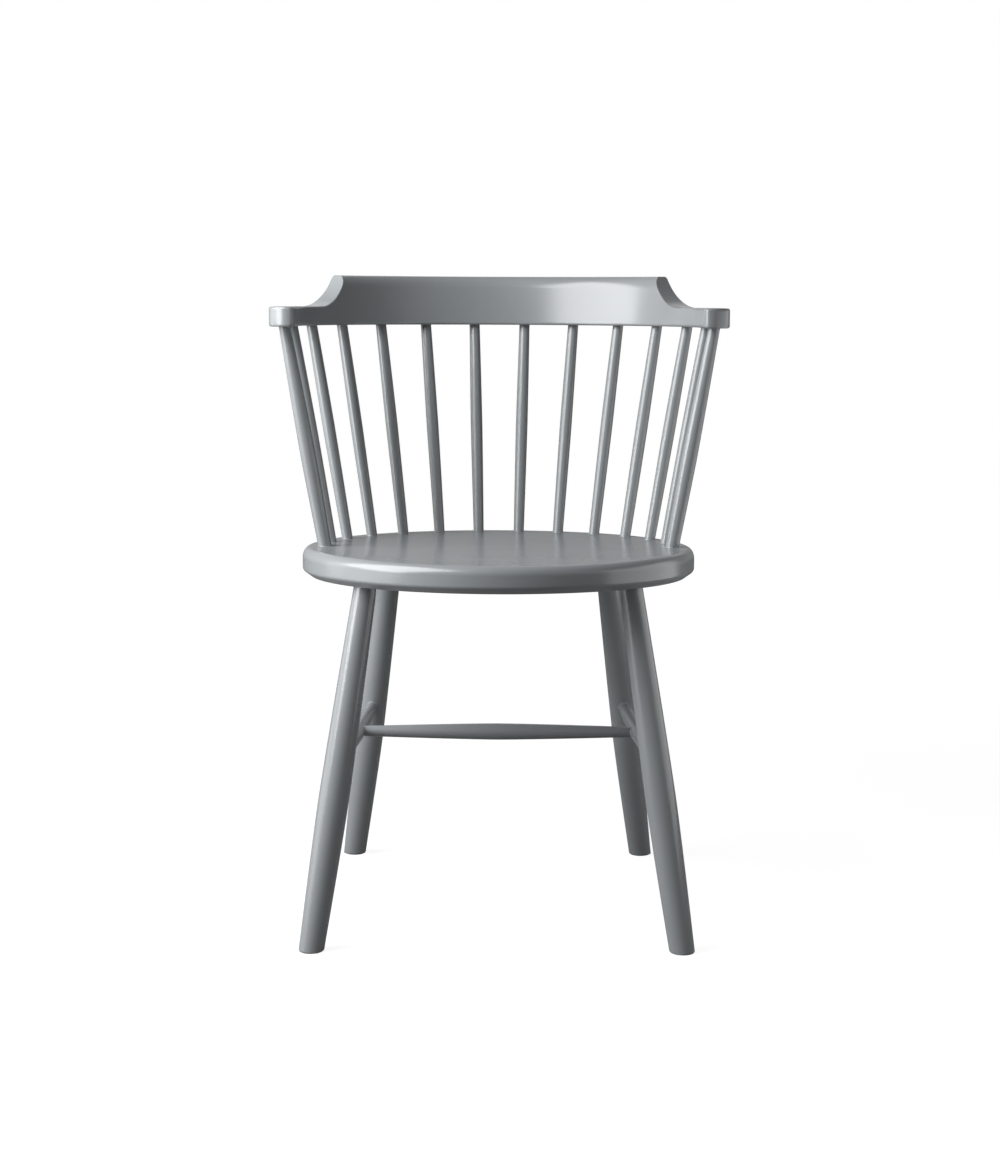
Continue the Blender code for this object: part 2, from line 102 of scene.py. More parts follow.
# Bow rail
CREST_STEPS, CORNER_STEPS, SCOOP_STEPS, ARM_STEPS = 40, 6, 24, 30  # along one half of its top
SHORTEST_STEP = 0.0004  # points of the scoop that lie nearer to the one before are left out
EDGE_STEPS = 5
BESIDE = 0.001  # from a rounding to the next points of the section, which keep the face beside it flat
FLANK_PLACES = (0.33, 0.67)  # shares of a side's height that hold points
TOP_PLACES = (0.1, 0.5, 0.9)  # shares of the top's width that hold points
ARM_EDGE_START = 0.7  # share of the scoop's length from which its edges grow to the arm's
HALVINGS = 40  # enough to find an angle to the last digit
SHORTEST_ARC = 0.0001  # radians; a shorter stretch of a crest's rounding is left out

# Wood and paint
GRAIN_STEP = 1.7  # distance in the wood between the pieces, so that no two show the same grain
FIRST_LEG, FIRST_STRETCHER = 20, 30  # places in that row; the spindles and posts come first
TURNED_GRAIN = (0.003, 0.10)  # width and length of the wood's ridges
SEAT_GRAIN = (0.006, 0.20)
BOW_GRAIN = (0.004, 0.16)
BEECH_GRAIN = (0.0012, 0.004)
BEECH_DEPTH = 0.00004
BEECH_DEEP, BEECH_PALE = (0.40, 0.26, 0.14, 1.0), (0.66, 0.48, 0.30, 1.0)
BEECH_ROUGHNESS = (0.62, 0.78)
PORE_SPREAD = (0.25, 0.45)  # values of the noise at a pore's middle and at its edge
PORE_HEIGHT = (-0.6, 0.0)  # heights there, where a ridge has a height of about 1
SHADES = (0.95, 1.05)  # the paint's deepest and palest tone against its colour
GRAIN_TONE, FILM_TONE = 0.4, 0.6  # what the grain and the film add to the tone
GLOSS_CHANGE = 0.02  # how far the roughness changes either way
GLOSS_SPREAD = (0.3, 0.7)  # values of the film's noise that give the least and the most roughness
WHITE = (1.0, 1.0, 1.0, 1.0)

# Studio
SENSOR_WIDTH = 36.0  # millimetres
LIT_POINT = Vector((0.0, 0.0, 0.42))  # the lamps face this point
# name, azimuth and elevation in degrees, distance and two side lengths in metres, watts
LAMPS = (
    ("key_softbox", -65.0, 32.0, 1.6, 1.6, 1.4, 66.0),
    ("left_panel", -100.0, 3.0, 2.6, 1.6, 1.2, 12.0),
    ("low_card", -68.0, -4.0, 1.25, 1.1, 0.55, 4.5),
    ("right_card", 84.0, 1.0, 0.85, 0.62, 0.9, 3.5),
    ("front_fill", 48.0, 20.0, 2.4, 1.6, 1.4, 2.2),
    ("back_panel", 180.0, 31.0, 2.8, 3.0, 1.2, 7.0),
)


def size(name, description, default):
    """A length that the user may change."""
    return FloatProperty(name=name, description=description, default=default, unit="LENGTH", precision=4)


def share(name, description, default):
    """A plain number without a unit."""
    return FloatProperty(name=name, description=description, default=default, precision=3)


def turn(name, description, degrees):
    """An angle that the user may change."""
    return FloatProperty(name=name, description=description, default=math.radians(degrees), unit="ROTATION",
                         subtype="ANGLE")


def tint(name, description, default):
    """A colour that the user may change."""
    return FloatVectorProperty(name=name, description=description, default=default, size=3, subtype="COLOR",
                               min=0.0, max=1.0)


class SeatSizes(bpy.types.PropertyGroup):
    """Sizes of the round seat."""

    radius: size("Radius", "From the middle of the seat to its rim", 0.230)
    thickness: size("Thickness", "From the top of the seat to its underside", 0.033)
    round_width: size("Rounding width", "Width of the upper edge's rounding", 0.009)
    round_height: size("Rounding height", "Height of the upper edge's rounding", 0.012)
    front_fall: size("Front fall", "How far the top rolls down towards its front edge", 0.0022)
    chamfer_height: size("Chamfer height", "Height of the chamfer under the rim", 0.0072)
    chamfer_width: size("Chamfer width", "Width of the chamfer under the rim", 0.0100)
    rim_crease: size("Rim crease", "Rounding of the crease between the rim and the chamfer", 0.005)
    lower_crease: size("Lower crease", "Rounding of the crease between the chamfer and the underside", 0.0012)
    sides: IntProperty(name="Facets", description="Facets round the rim", default=224, min=24)


class LegSizes(bpy.types.PropertyGroup):
    """Sizes of the four legs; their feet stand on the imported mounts."""

    top_inset: size("Top inset", "From the seat's rim to a leg's axis under the seat", 0.0345)
    front_angle: turn("Front angle", "Front legs, about the seat's middle, from the back", 130.3)
    rear_angle: turn("Rear angle", "Rear legs, about the seat's middle, from the back", 42.93)
    foot: size("Foot diameter", "Diameter at the floor", 0.0285)
    swell: size("Swell diameter", "Largest diameter", 0.0346)
    top: size("Top diameter", "Diameter of the neck under the seat", 0.026)
    swell_height: size("Swell height", "Height of the largest diameter above the floor", 0.165)
    tenon: size("Tenon", "Length of the round tenon in the seat", 0.0195)
    foot_round: size("Foot rounding", "Rounding round the foot", 0.0024)
    sides: IntProperty(name="Facets", description="Facets round a leg", default=64, min=12)


class StretcherSizes(bpy.types.PropertyGroup):
    """Sizes of the side stretchers and the cross stretcher."""

    height: size("Height", "Height of the stretchers above the floor", 0.212)
    side_swell: size("Side diameter", "Side stretchers, at their middle", 0.020)
    side_end: size("Side end diameter", "Side stretchers, at the legs", 0.0135)
    side_tenon: size("Side tenon", "Length of a side stretcher's tenon", 0.0175)
    cross_swell: size("Cross diameter", "Cross stretcher, at its middle", 0.0198)
    cross_end: size("Cross end diameter", "Cross stretcher, at the side stretchers", 0.0125)
    cross_tenon: size("Cross tenon", "Length of the cross stretcher's tenon", 0.0105)
    sides: IntProperty(name="Facets", description="Facets round a stretcher", default=48, min=12)


class StickSizes(bpy.types.PropertyGroup):
    """Sizes of the back spindles and the two front posts."""

    per_side: IntProperty(name="Spindles", description="Spindles on each side of the middle", default=6,
                          min=1)
    inset: size("Inset", "From the seat's rim to the circle of spindles", 0.026)
    angle_step: turn("Angle step", "Between two spindles, about the seat's middle", 14.31)
    post_forward: size("Post forward", "From the bow's centre forward to a front post's head", 0.0249)
    spindle_base: size("Spindle base", "Diameter of a spindle at the seat", 0.0128)
    spindle_swell: size("Spindle swell", "Largest diameter of a spindle", 0.0149)
    spindle_top: size("Spindle top", "Diameter of a spindle at the rail", 0.0130)
    spindle_place: share("Spindle swell place", "Share of the height at which a spindle is thickest", 0.52)
    post_base: size("Post base", "Diameter of a front post at the seat", 0.0158)
    post_swell: size("Post swell", "Largest diameter of a front post", 0.0182)
    post_top: size("Post top", "Diameter of a front post at the arm", 0.0135)
    post_place: share("Post swell place", "Share of the height at which a front post is thickest", 0.40)
    seat_tenon: size("Seat tenon", "Length of a tenon in the seat", 0.0185)
    rail_tenon: size("Rail tenon", "Length of a tenon in the rail", 0.0145)
    sides: IntProperty(name="Facets", description="Facets round a spindle", default=40, min=12)


class BowSizes(bpy.types.PropertyGroup):
    """Sizes of the bow rail with its crest and arms."""

    bottom: size("Bottom height", "Height of the rail's underside above the floor", 0.6962)
    radius: size("Radius", "Radius of the bow's centre line", 0.249)
    setback: size("Setback", "From the seat's middle back to the bow's centre", 0.012)
    width: size("Width", "Width of the arms and of the crest's foot", 0.0325)
    arm_height: size("Arm height", "Height of the arms", 0.0228)
    arm_overhang: size("Arm overhang", "From a front post's axis to the arm's tip", 0.050)
    crest_height: size("Crest height", "Height of the crest", 0.0608)
    crest_reach: size("Crest reach", "Along the centre line from the back's middle to the scoop", 0.2247)
    scoop_length: size("Scoop length", "Length of the scoop along the centre line", 0.0592)
    scoop_angle: turn("Scoop angle", "From upright, where the scoop leaves the crest's top", 24.5)
    inner_lean: turn("Inner lean", "Lean of the crest's inner face", 9.8)
    outer_lean: turn("Outer lean", "Lean of the crest's outer face", 1.0)
    inner_round: size("Inner rounding", "Width of the rounding of the crest's inner top edge", 0.009)
    outer_round: size("Outer rounding", "Width of the rounding of the crest's outer top edge", 0.0035)
    round_stretch: share("Rounding stretch", "Height of a crest's rounding for a width of 1", 1.5)
    scoop_edge: size("Scoop edge", "Rounding of the scoop's edges", 0.0013)
    arm_edge: size("Arm edge", "Rounding of the arms' edges", 0.0028)
    tip_inward: size("Tip inward", "How far an arm tip's foremost point lies inward of the middle", 0.0075)
    tip_bluntness: share("Tip bluntness", "2 gives an arm tip a round inner corner, more a squarer one", 3.2)
    tip_taper: size("Tip taper", "How far the arm's outer side would come inward at the tip's end", 0.008)
    taper_length: size("Taper length", "Length of the taper behind the arm's half-round tip", 0.020)
    corner_round: size("Corner rounding", "Rounding where the crest's top turns into the scoop", 0.0016)


class PaintLook(bpy.types.PropertyGroup):
    """The satin grey paint."""

    colour: tint("Colour", "Colour of the paint", (0.2015, 0.2135, 0.222))
    roughness: share("Roughness", "Roughness of the satin surface", 0.235)
    bead: size("Bead", "Width of the paint bead that fills each joint", 0.0007)
    peel_size: size("Spray dimple", "Size of the sprayed film's dimples", 0.0016)
    peel_depth: size("Spray depth", "Depth of the sprayed film's dimples", 0.000012)
    grain_depth: size("Grain depth", "Depth to which the wood's grain shows through the paint", 0.000004)


class StageLook(bpy.types.PropertyGroup):
    """Floor, lamps and camera."""

    floor_radius: size("Floor radius", "Radius of the round floor", 9.0)
    floor_colour: tint("Floor colour", "Colour of the floor", (0.15, 0.15, 0.15))
    floor_glow: share("Floor glow", "How white the floor looks under the chair, where its shadow lies", 0.91)
    glow_start: size("Glow start", "From the middle to where the floor begins to grow whiter", 0.8)
    glow_end: size("Glow end", "From the middle to where the floor is fully white", 2.2)
    floor_reflected: share("Floor reflected", "How much the floor glows in the paint's reflections", 0.08)
    light: share("Light", "Strength of all lamps", 1.0)
    ambient: share("Ambient", "Strength of the even light from all round", 0.02)
    reflected: share("Reflected", "How bright the studio looks in the paint's reflections", 0.3)
    lens: FloatProperty(name="Lens", description="Focal length of the camera", default=69.567, unit="CAMERA")
    camera_place: FloatVectorProperty(name="Camera", description="Place of the camera", size=3,
                                      default=(0.0019, -2.642975, 0.727),
                                      subtype="TRANSLATION", unit="LENGTH")
    camera_tilt: turn("Camera tilt", "How far the camera looks down", 7.0703)
    camera_roll: turn("Camera roll", "How far the camera leans to one side", 0.2406)


class ChairSettings(bpy.types.PropertyGroup):
    """All that can be changed on the chair and in its studio."""

    seat: PointerProperty(type=SeatSizes)
    leg: PointerProperty(type=LegSizes)
    stretcher: PointerProperty(type=StretcherSizes)
    stick: PointerProperty(type=StickSizes)
    bow: PointerProperty(type=BowSizes)
    paint: PointerProperty(type=PaintLook)
    stage: PointerProperty(type=StageLook)


def settings():
    """The values that the user may change."""
    return bpy.context.scene.chair


def sign_of(side):
    """The sign of X on a side of the chair."""
    return -1.0 if side == "left" else 1.0


def fill(tree, made, sockets):
    """Give each named input of a node a constant or a link from another node's output."""
    for name, value in sockets.items():
        if isinstance(value, bpy.types.NodeSocket):
            tree.links.new(value, made.inputs[name])
        else:
            made.inputs[name].default_value = value


def node(tree, kind, sockets=None, **values):
    """Add a shader node with its own values, and fill its inputs."""
    made = tree.nodes.new(kind)
    for name, value in values.items():
        setattr(made, name, value)
    fill(tree, made, sockets or {})
    return made


def start_group(name, inputs, outputs):
    """A new shader node group with named sockets; returns its tree and its input and output nodes."""
    tree = bpy.data.node_groups.new(name, "ShaderNodeTree")
    for label, kind, default in inputs:
        socket = tree.interface.new_socket(label, in_out="INPUT", socket_type=kind)
        if default is not None:
            socket.default_value = default
    for label, kind in outputs:
        tree.interface.new_socket(label, in_out="OUTPUT", socket_type=kind)
    return tree, tree.nodes.new("NodeGroupInput"), tree.nodes.new("NodeGroupOutput")


def math_node(tree, operation, first, second):
    """Sum, product or quotient of two values."""
    return node(tree, "ShaderNodeMath", {0: first, 1: second}, operation=operation).outputs[0]


def map_range(tree, value, before, after, curve="LINEAR"):
    """A value of the range before, carried over to the range after."""
    sockets = {"Value": value, "From Min": before[0], "From Max": before[1], "To Min": after[0],
               "To Max": after[1]}
    return node(tree, "ShaderNodeMapRange", sockets, interpolation_type=curve).outputs[0]


def colour_mix(tree, factor, first, second):
    """A colour between two, by a factor from 0 to 1."""
    return node(tree, "ShaderNodeMix", {0: factor, 6: first, 7: second}, data_type="RGBA").outputs[2]


def bump_normal(tree, height):
    """Normal of a surface whose small hills have a height in metres."""
    sockets = {"Height": height, "Distance": 1.0, "Strength": 1.0}
    return node(tree, "ShaderNodeBump", sockets).outputs["Normal"]


def grain_group():
    """Long soft ridges and short pores of the wood under the paint, running along Z of the given position."""
    name = "wood grain"
    if name in bpy.data.node_groups:
        return bpy.data.node_groups[name]
    tree, given, result = start_group(
        name,
        (("Position", "NodeSocketVector", None), ("Ridge width", "NodeSocketFloat", 0.004),
         ("Ridge length", "NodeSocketFloat", 0.12)),
        (("Height", "NodeSocketFloat"), ("Tone", "NodeSocketFloat")))
    across = math_node(tree, "DIVIDE", 1.0, given.outputs["Ridge width"])
    along = math_node(tree, "DIVIDE", 1.0, given.outputs["Ridge length"])
    stretch = node(tree, "ShaderNodeCombineXYZ", {"X": across, "Y": across, "Z": along})
    place = node(tree, "ShaderNodeVectorMath", {0: given.outputs["Position"], 1: stretch.outputs[0]},
                 operation="MULTIPLY")
    ridges = node(tree, "ShaderNodeTexNoise", {"Vector": place.outputs[0], "Scale": 1.0, "Detail": 3.0,
                                               "Roughness": 0.55, "Distortion": 0.3})
    pores = node(tree, "ShaderNodeTexNoise", {"Vector": place.outputs[0], "Scale": 5.0, "Detail": 1.0})
    pits = map_range(tree, pores.outputs["Fac"], PORE_SPREAD, PORE_HEIGHT, "SMOOTHERSTEP")
    fill(tree, result, {"Height": math_node(tree, "ADD", ridges.outputs["Fac"], pits),
                        "Tone": ridges.outputs["Fac"]})
    return tree


def spray_group():
    """Fine dimples of a sprayed film, and the broad changes of gloss that come with it."""
    name = "sprayed film"
    if name in bpy.data.node_groups:
        return bpy.data.node_groups[name]
    tree, given, result = start_group(
        name,
        (("Position", "NodeSocketVector", None), ("Dimple", "NodeSocketFloat", 0.0016),
         ("Patch", "NodeSocketFloat", 0.07)),
        (("Height", "NodeSocketFloat"), ("Gloss", "NodeSocketFloat")))
    place = given.outputs["Position"]
    fine = math_node(tree, "DIVIDE", 1.0, given.outputs["Dimple"])
    broad = math_node(tree, "DIVIDE", 1.0, given.outputs["Patch"])
    dimples = node(tree, "ShaderNodeTexNoise", {"Vector": place, "Scale": fine, "Detail": 1.0})
    patches = node(tree, "ShaderNodeTexNoise", {"Vector": place, "Scale": broad, "Detail": 3.0})
    fill(tree, result, {"Height": dimples.outputs["Fac"], "Gloss": patches.outputs["Fac"]})
    return tree


def start_material(name):
    """A material that holds only a Principled surface; one of that name is emptied and used again."""
    material = bpy.data.materials.get(name) or bpy.data.materials.new(name)
    material.use_nodes = True
    tree = material.node_tree
    tree.nodes.clear()
    surface = tree.nodes.new("ShaderNodeBsdfPrincipled")
    node(tree, "ShaderNodeOutputMaterial", {"Surface": surface.outputs["BSDF"]})
    return material, tree, surface


def grain_node(tree, place, width, length):
    """The wood's grain at a place, with the width and length of its ridges."""
    sockets = {"Position": place, "Ridge width": width, "Ridge length": length}
    return node(tree, "ShaderNodeGroup", sockets, node_tree=grain_group())


def paint_material(name, ridge_width, ridge_length):
    """Satin grey paint over wood whose grain runs along each piece's own grain attribute."""
    look = settings().paint
    material, tree, surface = start_material(name)
    place = node(tree, "ShaderNodeAttribute", attribute_name="grain").outputs["Vector"]
    grain = grain_node(tree, place, ridge_width, ridge_length)
    film = node(tree, "ShaderNodeGroup", {"Position": place, "Dimple": look.peel_size},
                node_tree=spray_group())
    deep, pale = ((*(min(shade * part, 1.0) for part in look.colour), 1.0) for shade in SHADES)
    tone = math_node(tree, "ADD", math_node(tree, "MULTIPLY", grain.outputs["Tone"], GRAIN_TONE),
                     math_node(tree, "MULTIPLY", film.outputs["Gloss"], FILM_TONE))
    rough = map_range(tree, film.outputs["Gloss"], GLOSS_SPREAD,
                      (look.roughness - GLOSS_CHANGE, look.roughness + GLOSS_CHANGE))
    ridges = math_node(tree, "MULTIPLY", grain.outputs["Height"], look.grain_depth)
    dimples = math_node(tree, "MULTIPLY", film.outputs["Height"], look.peel_depth)
    fill(tree, surface, {"Base Color": colour_mix(tree, tone, deep, pale), "Roughness": rough,
                         "Normal": bump_normal(tree, math_node(tree, "ADD", ridges, dimples))})
    return material


def bare_wood():
    """Raw beech of the hidden dowels: pale brown with fine darker flecks along the length."""
    material, tree, surface = start_material("raw_beech")
    place = node(tree, "ShaderNodeTexCoord").outputs["Object"]
    grain = grain_node(tree, place, *BEECH_GRAIN)
    tone = grain.outputs["Tone"]
    flecks = math_node(tree, "MULTIPLY", grain.outputs["Height"], BEECH_DEPTH)
    fill(tree, surface, {"Base Color": colour_mix(tree, tone, BEECH_DEEP, BEECH_PALE),
                         "Roughness": map_range(tree, tone, (0.0, 1.0), BEECH_ROUGHNESS),
                         "Normal": bump_normal(tree, flecks)})
    return material


def turned_paint():
    """The paint of all turned pieces."""
    return paint_material("grey_paint_on_turnings", *TURNED_GRAIN)


def new_mesh(name, work, material):
    """Turn a finished bmesh into a mesh of one material."""
    mesh = bpy.data.meshes.new(name)
    work.to_mesh(mesh)
    work.free()
    mesh.materials.append(material)
    return mesh


def new_object(name, data):
    """Put an object into the scene, in the place of one that has its name already."""
    if name in bpy.data.objects:
        bpy.data.objects.remove(bpy.data.objects[name])
    made = bpy.data.objects.new(name, data)
    bpy.context.scene.collection.objects.link(made)
    return made


def finish_piece(name, work, material, *nodes):
    """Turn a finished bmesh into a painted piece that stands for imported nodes."""
    mesh = new_mesh(name, work, material)
    mesh.shade_smooth()
    mesh.set_sharp_from_angle(angle=SHARP_ANGLE)
    piece = new_object(name, mesh)
    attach(piece, BODY)
    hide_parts(*nodes)


def lathe(profile, sides):
    """Spin (distance, radius) pairs about Z and close both ends."""
    work = bmesh.new()
    verts = [work.verts.new((radius, 0.0, distance)) for distance, radius in profile]
    edges = [work.edges.new(pair) for pair in zip(verts, verts[1:])]
    bmesh.ops.spin(work, geom=verts + edges, cent=(0, 0, 0), axis=UP, angle=math.tau, steps=sides,
                   use_merge=True, use_duplicate=False)
    bmesh.ops.remove_doubles(work, verts=work.verts[:], dist=MERGE)
    bmesh.ops.holes_fill(work, edges=[edge for edge in work.edges if edge.is_boundary], sides=0)
    bmesh.ops.recalc_face_normals(work, faces=work.faces[:])
    return work


def mark_grain(work, matrix, offset):
    """Keep each point's place on the unplaced piece, so that the paint's grain runs along the piece."""
    layer = work.verts.layers.float_vector.new("grain")
    back = matrix.inverted()
    for vert in work.verts:
        vert[layer] = back @ vert.co + offset


def stand_matrix(start, direction):
    """Takes +Z at the origin to a direction from a start."""
    return Matrix.Translation(start) @ UP.rotation_difference(direction).to_matrix().to_4x4()


def surface_of(name):
    """A tree of a finished piece's faces, to find where a turned piece meets it."""
    if name not in bpy.data.objects:
        raise RuntimeError(f"Make {name} first")
    mesh = bpy.data.objects[name].data
    points = [vert.co for vert in mesh.vertices]
    return BVHTree.FromPolygons(points, [face.vertices[:] for face in mesh.polygons])


def press_end(work, matrix, end, outward, tree):
    """Slide one end of a turned piece along its axis until its bead follows the surface that it meets."""
    direction = matrix.to_3x3() @ (UP * outward)
    for vert in work.verts:
        short = (end - vert.co.z) * outward
        if short > PRESS_REACH:
            continue
        origin = matrix @ Vector((vert.co.x, vert.co.y, end - outward * PRESS_REACH))
        distance = tree.ray_cast(origin, direction)[3]
        if distance is None:
            raise RuntimeError("A turned piece doesn't reach the piece that it joins")
        weight = 1.0 - max(short, 0.0) / PRESS_REACH
        vert.co.z += outward * (distance - PRESS_REACH) * weight


def swell_points(start, swell_at, end, diameters, steps):
    """Profile of a turned piece that swells at one place and tapers to both ends."""
    at_start, at_swell, at_end = diameters
    points = []
    for i in range(-steps, steps + 1):
        away = abs(i) / steps
        place, diameter = (start, at_start) if i < 0 else (end, at_end)
        points.append((swell_at + (place - swell_at) * away,
                       0.5 * (at_swell + (diameter - at_swell) * away ** TURNING_FULLNESS)))
    return points


def bead_points(end, outward, radius, tenon):
    """Profile of a paint bead at one end of a turned piece, and of the tenon behind it."""
    width = settings().paint.bead
    points = []
    for i in range(BEAD_STEPS + 1):
        angle = QUARTER_TURN * i / BEAD_STEPS
        points.append((end - outward * width * (1.0 - math.sin(angle)),
                       radius + width * (1.0 - math.cos(angle))))
    points.append((end + outward * TOUCH, radius + width))
    points.append((end + outward * (TOUCH + width), radius))
    points.append((end + outward * tenon, radius))
    return points


def bead_room():
    """Length that a turned piece keeps free of its taper for the paint bead at an end."""
    return 2.0 * settings().paint.bead


def turned_piece(name, base, head, diameters, swell_place, tenons, sides, trees, order):
    """Turned stick between two surfaces, with a paint bead and a tenon at both ends, painted grey; its node is
    hidden.
    """
    length, room = (head - base).length, bead_room()
    profile = bead_points(0.0, -1.0, 0.5 * diameters[0], tenons[0])[::-1]
    profile += swell_points(room, swell_place * length, length - room, diameters, STICK_STEPS)
    profile += bead_points(length, 1.0, 0.5 * diameters[2], tenons[1])
    work = lathe(profile, sides)
    matrix = stand_matrix(base, head - base)
    press_end(work, matrix, 0.0, -1.0, trees[0])
    press_end(work, matrix, length, 1.0, trees[1])
    bmesh.ops.transform(work, matrix=matrix, verts=work.verts[:])
    mark_grain(work, matrix, Vector((0.0, 0.0, GRAIN_STEP * order)))
    finish_piece("painted_" + name, work, turned_paint(), name)


def on_seat(x, y, below=0.0):
    """Point of the seat's top, or of a plane below it, at a plan place from the seat's middle."""
    fall = y * SEAT_NORMAL.y / SEAT_NORMAL.z
    return SEAT_MIDDLE + Vector((x, y, -fall - below / SEAT_NORMAL.z))


def fillet(corner, before, after, radius, steps):
    """Points of a rounded corner between the points before and after it, as pairs."""
    corner, before, after = Vector(corner), Vector(before), Vector(after)
    one = (before - corner).normalized()
    two = (after - corner).normalized()
    half = 0.5 * one.angle(two)
    centre = corner + (one + two).normalized() * radius / math.sin(half)
    first = corner + one * radius / math.tan(half) - centre
    last = corner + two * radius / math.tan(half) - centre
    swing = first.angle(last)
    points = []
    for i in range(steps + 1):
        t = i / steps
        swung = first * math.sin((1.0 - t) * swing) + last * math.sin(t * swing)
        points.append(centre + swung / math.sin(swing))
    return points


def smooth_step(value, start, end):
    """0 up to start, 1 from end on, with a smooth slope between."""
    t = min(max((value - start) / (end - start), 0.0), 1.0)
    return t * t * (3.0 - 2.0 * t)


class CHAIR_OT_seat(bpy.types.Operator):
    """Turn the round seat with its rounded top edge and chamfered lower edge"""

    bl_idname = "chair.seat"
    bl_label = "Seat"

    def execute(self, context):
        sizes = settings().seat
        rim, under = sizes.radius, -sizes.thickness
        low, inner = under + sizes.chamfer_height, rim - sizes.chamfer_width
        flat, stretch = rim - sizes.round_width, sizes.round_height / sizes.round_width
        outline = [Vector((flat * ring, 0.0)) for ring in SEAT_RINGS]
        outline += [Vector((point.x, stretch * point.y)) for point in
                    fillet((rim, 0.0), (0.0, 0.0), (rim, under), sizes.round_width, steps=16)]
        outline.append(Vector((rim, 0.5 * (low + 0.5 * sizes.rim_crease - sizes.round_height))))
        outline += fillet((rim, low), (rim, 0.0), (inner, under), sizes.rim_crease, steps=10)
        outline += fillet((inner, under), (rim, low), (0.0, under), sizes.lower_crease, steps=4)
        outline.append(Vector((inner - UNDER_RING, under)))
        work = lathe([(point.y, point.x) for point in outline], sizes.sides)
        depth = sizes.round_height + sizes.front_fall
        for vert in work.verts:
            forward = smooth_step(-vert.co.y, ROLL_START * rim, rim)
            vert.co.z -= sizes.front_fall * forward * max(1.0 + vert.co.z / depth, 0.0)
        matrix = stand_matrix(SEAT_MIDDLE, SEAT_NORMAL)
        bmesh.ops.transform(work, matrix=matrix, verts=work.verts[:])
        mark_grain(work, matrix @ Matrix.Rotation(QUARTER_TURN, 4, "X"), Vector())
        finish_piece("painted_seat", work, paint_material("grey_paint_on_seat", *SEAT_GRAIN), "seat")
        return {"FINISHED"}


def bow_place(along):
    """Point on the bow's lower centre line and its outward direction, at a distance from the middle."""
    sizes = settings().bow
    quarter = QUARTER_TURN * sizes.radius
    bend = min(abs(along), quarter) / sizes.radius
    outward = Vector((math.copysign(math.sin(bend), along), math.cos(bend), 0.0))
    point = Vector((0.0, SEAT_MIDDLE.y + sizes.setback, sizes.bottom)) + sizes.radius * outward
    point.y -= max(abs(along) - quarter, 0.0)
    return point, outward


def stick_pitch():
    """Distance between two sticks along the bow's centre line."""
    sticks = settings().stick
    return (QUARTER_TURN * settings().bow.radius + sticks.post_forward) / (sticks.per_side + 0.5)


def arm_tip_start():
    """Distance along the bow at which an arm's half-round tip begins."""
    bow, sticks = settings().bow, settings().stick
    return (sticks.per_side + 0.5) * stick_pitch() + bow.arm_overhang - 0.5 * bow.width


def bow_top_line():
    """Top edge of one half of the bow, as (distance along, height) pairs from the middle to the arm's tip."""
    sizes = settings().bow
    crest, arm = sizes.crest_height, sizes.arm_height
    entry = sizes.scoop_angle
    setback = sizes.corner_round * math.tan(0.5 * (QUARTER_TURN - entry))
    corner = sizes.crest_reach - setback
    line = [(corner * i / CREST_STEPS, crest) for i in range(CREST_STEPS + 1)]
    for i in range(1, CORNER_STEPS + 1):
        angle = QUARTER_TURN + (entry - QUARTER_TURN) * i / CORNER_STEPS
        line.append((corner + sizes.corner_round * math.cos(angle),
                     crest - sizes.corner_round * (1.0 - math.sin(angle))))
    for i in range(1, SCOOP_STEPS + 1):
        angle = entry + (QUARTER_TURN - entry) * i / SCOOP_STEPS
        along = sizes.crest_reach + sizes.scoop_length * (1.0 - math.cos(angle) / math.cos(entry))
        drop = (math.sin(angle) - math.sin(entry)) / (1.0 - math.sin(entry))
        if along > line[-1][0] + SHORTEST_STEP:
            line.append((along, crest - (crest - arm) * drop))
    start, end = line[-1][0], arm_tip_start()
    line += [(start + (end - start) * i / ARM_STEPS, arm) for i in range(1, ARM_STEPS + 1)]
    return line


def top_corner(full, cut, wide, high, small, steps):
    """Corner of a crest that is rounded by a long arc at its full height and cut off at some height.

    The arc is an ellipse's quarter, wide by high, and the cut's edge has a small radius. Points are
    (inset, height) pairs from the side to the top.
    """
    def corner_at(angle):
        """Inset, height and facing direction of the long arc at an angle of its ellipse."""
        facing = math.atan2(wide * math.sin(angle), high * math.cos(angle))
        return wide * (1.0 - math.cos(angle)), full - high + high * math.sin(angle), facing

    low, top = 0.0, QUARTER_TURN
    for _ in range(HALVINGS):
        middle = 0.5 * (low + top)
        facing = corner_at(middle)[2]
        if corner_at(middle)[1] + small * (1.0 - math.sin(facing)) < cut:
            low = middle
        else:
            top = middle
    inset, up, facing = corner_at(low)
    up = min(up, cut - small * (1.0 - math.sin(facing)))
    points = [(0.0, up)] * steps
    if low > SHORTEST_ARC:
        points = [corner_at(low * i / steps)[:2] for i in range(steps)]
    for i in range(steps + 1):
        angle = facing + (QUARTER_TURN - facing) * i / steps
        points.append((inset + small * (math.cos(facing) - math.cos(angle)),
                       up + small * (math.sin(angle) - math.sin(facing))))
    return points


